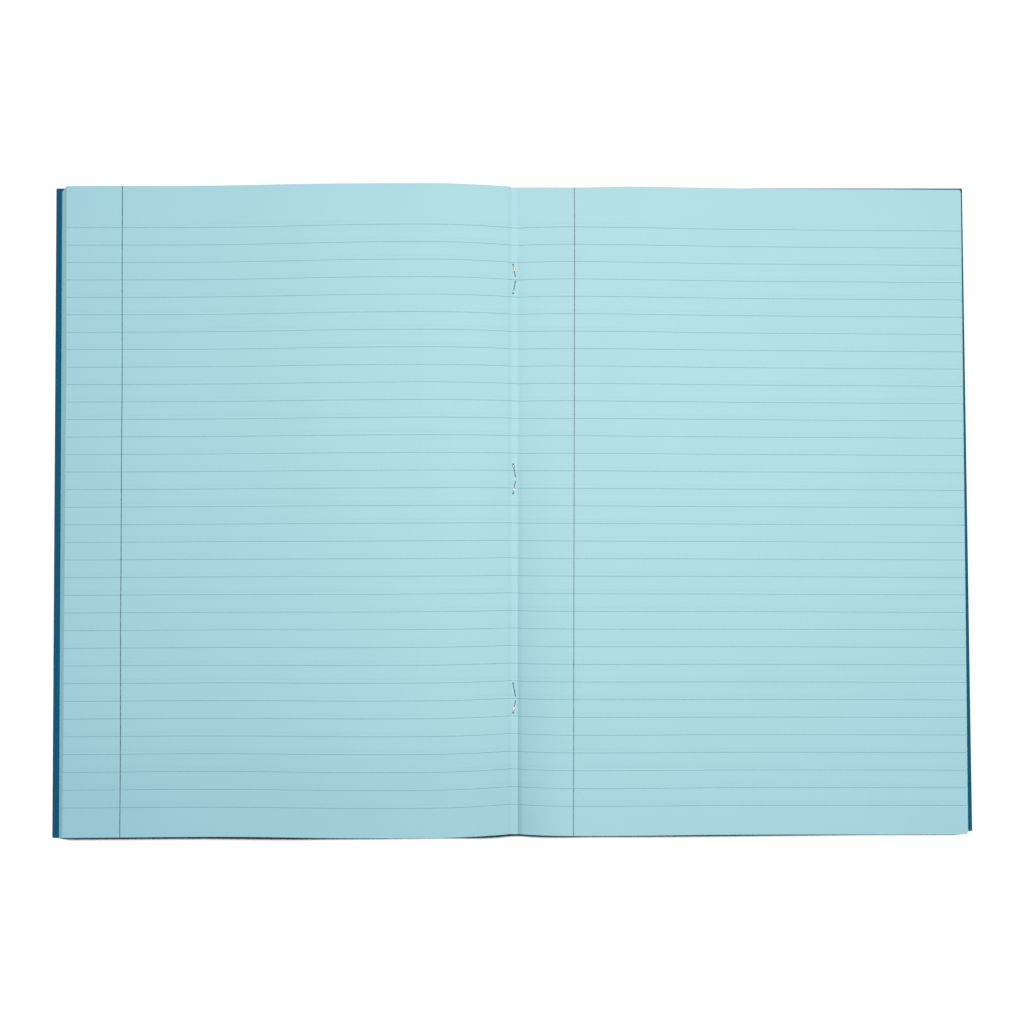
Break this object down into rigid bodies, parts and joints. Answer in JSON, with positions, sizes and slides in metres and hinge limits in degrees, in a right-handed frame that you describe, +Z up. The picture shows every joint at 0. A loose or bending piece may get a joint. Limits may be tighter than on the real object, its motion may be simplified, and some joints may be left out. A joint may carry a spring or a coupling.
{
  "type": "stapled exercise book",
  "caption": "Thin card-covered exercise book lying open at its centre spread, with ruled leaves that turn about a stapled fold.",
  "frame": {"origin": "under the middle of the spine, on the table that the open book lies on", "axes": "+X to the right-hand page's fore edge, +Y to the head of the page, +Z up from the table"},
  "size_m": [0.4216, 0.2988, 0.0082],
  "materials": {
    "cover_card": "matt dyed card",
    "page_paper": "tinted ruled paper",
    "staple_wire": "bright wire"
  },
  "bodies": {
    "spine": {"back_cover": "cover_card", "sheet_01_fold": "page_paper", "sheet_02_fold": "page_paper", "sheet_03_fold": "page_paper", "sheet_04_fold": "page_paper", "sheet_05_fold": "page_paper", "sheet_06_fold": "page_paper", "sheet_07_fold": "page_paper", "sheet_08_fold": "page_paper", "sheet_09_fold": "page_paper", "sheet_10_fold": "page_paper", "sheet_11_fold": "page_paper", "sheet_12_fold": "page_paper", "staple_head": "staple_wire", "staple_middle": "staple_wire", "staple_tail": "staple_wire"},
    "front_cover": {"front_cover": "cover_card"},
    "left_leaf_01": {"sheet_01_left_leaf": "page_paper"},
    "left_leaf_02": {"sheet_02_left_leaf": "page_paper"},
    "left_leaf_03": {"sheet_03_left_leaf": "page_paper"},
    "left_leaf_04": {"sheet_04_left_leaf": "page_paper"},
    "left_leaf_05": {"sheet_05_left_leaf": "page_paper"},
    "left_leaf_06": {"sheet_06_left_leaf": "page_paper"},
    "left_leaf_07": {"sheet_07_left_leaf": "page_paper"},
    "left_leaf_08": {"sheet_08_left_leaf": "page_paper"},
    "left_leaf_09": {"sheet_09_left_leaf": "page_paper"},
    "left_leaf_10": {"sheet_10_left_leaf": "page_paper"},
    "left_leaf_11": {"sheet_11_left_leaf": "page_paper"},
    "left_leaf_12": {"sheet_12_left_leaf": "page_paper"},
    "right_leaf_01": {"sheet_01_right_leaf": "page_paper"},
    "right_leaf_02": {"sheet_02_right_leaf": "page_paper"},
    "right_leaf_03": {"sheet_03_right_leaf": "page_paper"},
    "right_leaf_04": {"sheet_04_right_leaf": "page_paper"},
    "right_leaf_05": {"sheet_05_right_leaf": "page_paper"},
    "right_leaf_06": {"sheet_06_right_leaf": "page_paper"},
    "right_leaf_07": {"sheet_07_right_leaf": "page_paper"},
    "right_leaf_08": {"sheet_08_right_leaf": "page_paper"},
    "right_leaf_09": {"sheet_09_right_leaf": "page_paper"},
    "right_leaf_10": {"sheet_10_right_leaf": "page_paper"},
    "right_leaf_11": {"sheet_11_right_leaf": "page_paper"},
    "right_leaf_12": {"sheet_12_right_leaf": "page_paper"}
  },
  "joints": [
    {"name": "front_cover_turn", "type": "hinge", "parent": "spine", "child": "front_cover", "pos_m": [0, 0, 0.00705], "axis": [0, 1, 0], "range_deg": [0, 180]},
    {"name": "left_leaf_01_turn", "type": "hinge", "parent": "front_cover", "child": "left_leaf_01", "pos_m": [0, 0, 0.00705], "axis": [0, 1, 0], "range_deg": [0, 180]},
    {"name": "left_leaf_02_turn", "type": "hinge", "parent": "left_leaf_01", "child": "left_leaf_02", "pos_m": [0, 0, 0.00705], "axis": [0, 1, 0], "range_deg": [0, 180]},
    {"name": "left_leaf_03_turn", "type": "hinge", "parent": "left_leaf_02", "child": "left_leaf_03", "pos_m": [0, 0, 0.00705], "axis": [0, 1, 0], "range_deg": [0, 180]},
    {"name": "left_leaf_04_turn", "type": "hinge", "parent": "left_leaf_03", "child": "left_leaf_04", "pos_m": [0, 0, 0.00705], "axis": [0, 1, 0], "range_deg": [0, 180]},
    {"name": "left_leaf_05_turn", "type": "hinge", "parent": "left_leaf_04", "child": "left_leaf_05", "pos_m": [0, 0, 0.00705], "axis": [0, 1, 0], "range_deg": [0, 180]},
    {"name": "left_leaf_06_turn", "type": "hinge", "parent": "left_leaf_05", "child": "left_leaf_06", "pos_m": [0, 0, 0.00705], "axis": [0, 1, 0], "range_deg": [0, 180]},
    {"name": "left_leaf_07_turn", "type": "hinge", "parent": "left_leaf_06", "child": "left_leaf_07", "pos_m": [0, 0, 0.00705], "axis": [0, 1, 0], "range_deg": [0, 180]},
    {"name": "left_leaf_08_turn", "type": "hinge", "parent": "left_leaf_07", "child": "left_leaf_08", "pos_m": [0, 0, 0.00705], "axis": [0, 1, 0], "range_deg": [0, 180]},
    {"name": "left_leaf_09_turn", "type": "hinge", "parent": "left_leaf_08", "child": "left_leaf_09", "pos_m": [0, 0, 0.00705], "axis": [0, 1, 0], "range_deg": [0, 180]},
    {"name": "left_leaf_10_turn", "type": "hinge", "parent": "left_leaf_09", "child": "left_leaf_10", "pos_m": [0, 0, 0.00705], "axis": [0, 1, 0], "range_deg": [0, 180]},
    {"name": "left_leaf_11_turn", "type": "hinge", "parent": "left_leaf_10", "child": "left_leaf_11", "pos_m": [0, 0, 0.00705], "axis": [0, 1, 0], "range_deg": [0, 180]},
    {"name": "left_leaf_12_turn", "type": "hinge", "parent": "left_leaf_11", "child": "left_leaf_12", "pos_m": [0, 0, 0.00705], "axis": [0, 1, 0], "range_deg": [0, 180]},
    {"name": "right_leaf_01_turn", "type": "hinge", "parent": "spine", "child": "right_leaf_01", "pos_m": [0, 0, 0.00705], "axis": [0, -1, 0], "range_deg": [0, 180]},
    {"name": "right_leaf_02_turn", "type": "hinge", "parent": "right_leaf_01", "child": "right_leaf_02", "pos_m": [0, 0, 0.00705], "axis": [0, -1, 0], "range_deg": [0, 180]},
    {"name": "right_leaf_03_turn", "type": "hinge", "parent": "right_leaf_02", "child": "right_leaf_03", "pos_m": [0, 0, 0.00705], "axis": [0, -1, 0], "range_deg": [0, 180]},
    {"name": "right_leaf_04_turn", "type": "hinge", "parent": "right_leaf_03", "child": "right_leaf_04", "pos_m": [0, 0, 0.00705], "axis": [0, -1, 0], "range_deg": [0, 180]},
    {"name": "right_leaf_05_turn", "type": "hinge", "parent": "right_leaf_04", "child": "right_leaf_05", "pos_m": [0, 0, 0.00705], "axis": [0, -1, 0], "range_deg": [0, 180]},
    {"name": "right_leaf_06_turn", "type": "hinge", "parent": "right_leaf_05", "child": "right_leaf_06", "pos_m": [0, 0, 0.00705], "axis": [0, -1, 0], "range_deg": [0, 180]},
    {"name": "right_leaf_07_turn", "type": "hinge", "parent": "right_leaf_06", "child": "right_leaf_07", "pos_m": [0, 0, 0.00705], "axis": [0, -1, 0], "range_deg": [0, 180]},
    {"name": "right_leaf_08_turn", "type": "hinge", "parent": "right_leaf_07", "child": "right_leaf_08", "pos_m": [0, 0, 0.00705], "axis": [0, -1, 0], "range_deg": [0, 180]},
    {"name": "right_leaf_09_turn", "type": "hinge", "parent": "right_leaf_08", "child": "right_leaf_09", "pos_m": [0, 0, 0.00705], "axis": [0, -1, 0], "range_deg": [0, 180]},
    {"name": "right_leaf_10_turn", "type": "hinge", "parent": "right_leaf_09", "child": "right_leaf_10", "pos_m": [0, 0, 0.00705], "axis": [0, -1, 0], "range_deg": [0, 180]},
    {"name": "right_leaf_11_turn", "type": "hinge", "parent": "right_leaf_10", "child": "right_leaf_11", "pos_m": [0, 0, 0.00705], "axis": [0, -1, 0], "range_deg": [0, 180]},
    {"name": "right_leaf_12_turn", "type": "hinge", "parent": "right_leaf_11", "child": "right_leaf_12", "pos_m": [0, 0, 0.00705], "axis": [0, -1, 0], "range_deg": [0, 180]}
  ]
}
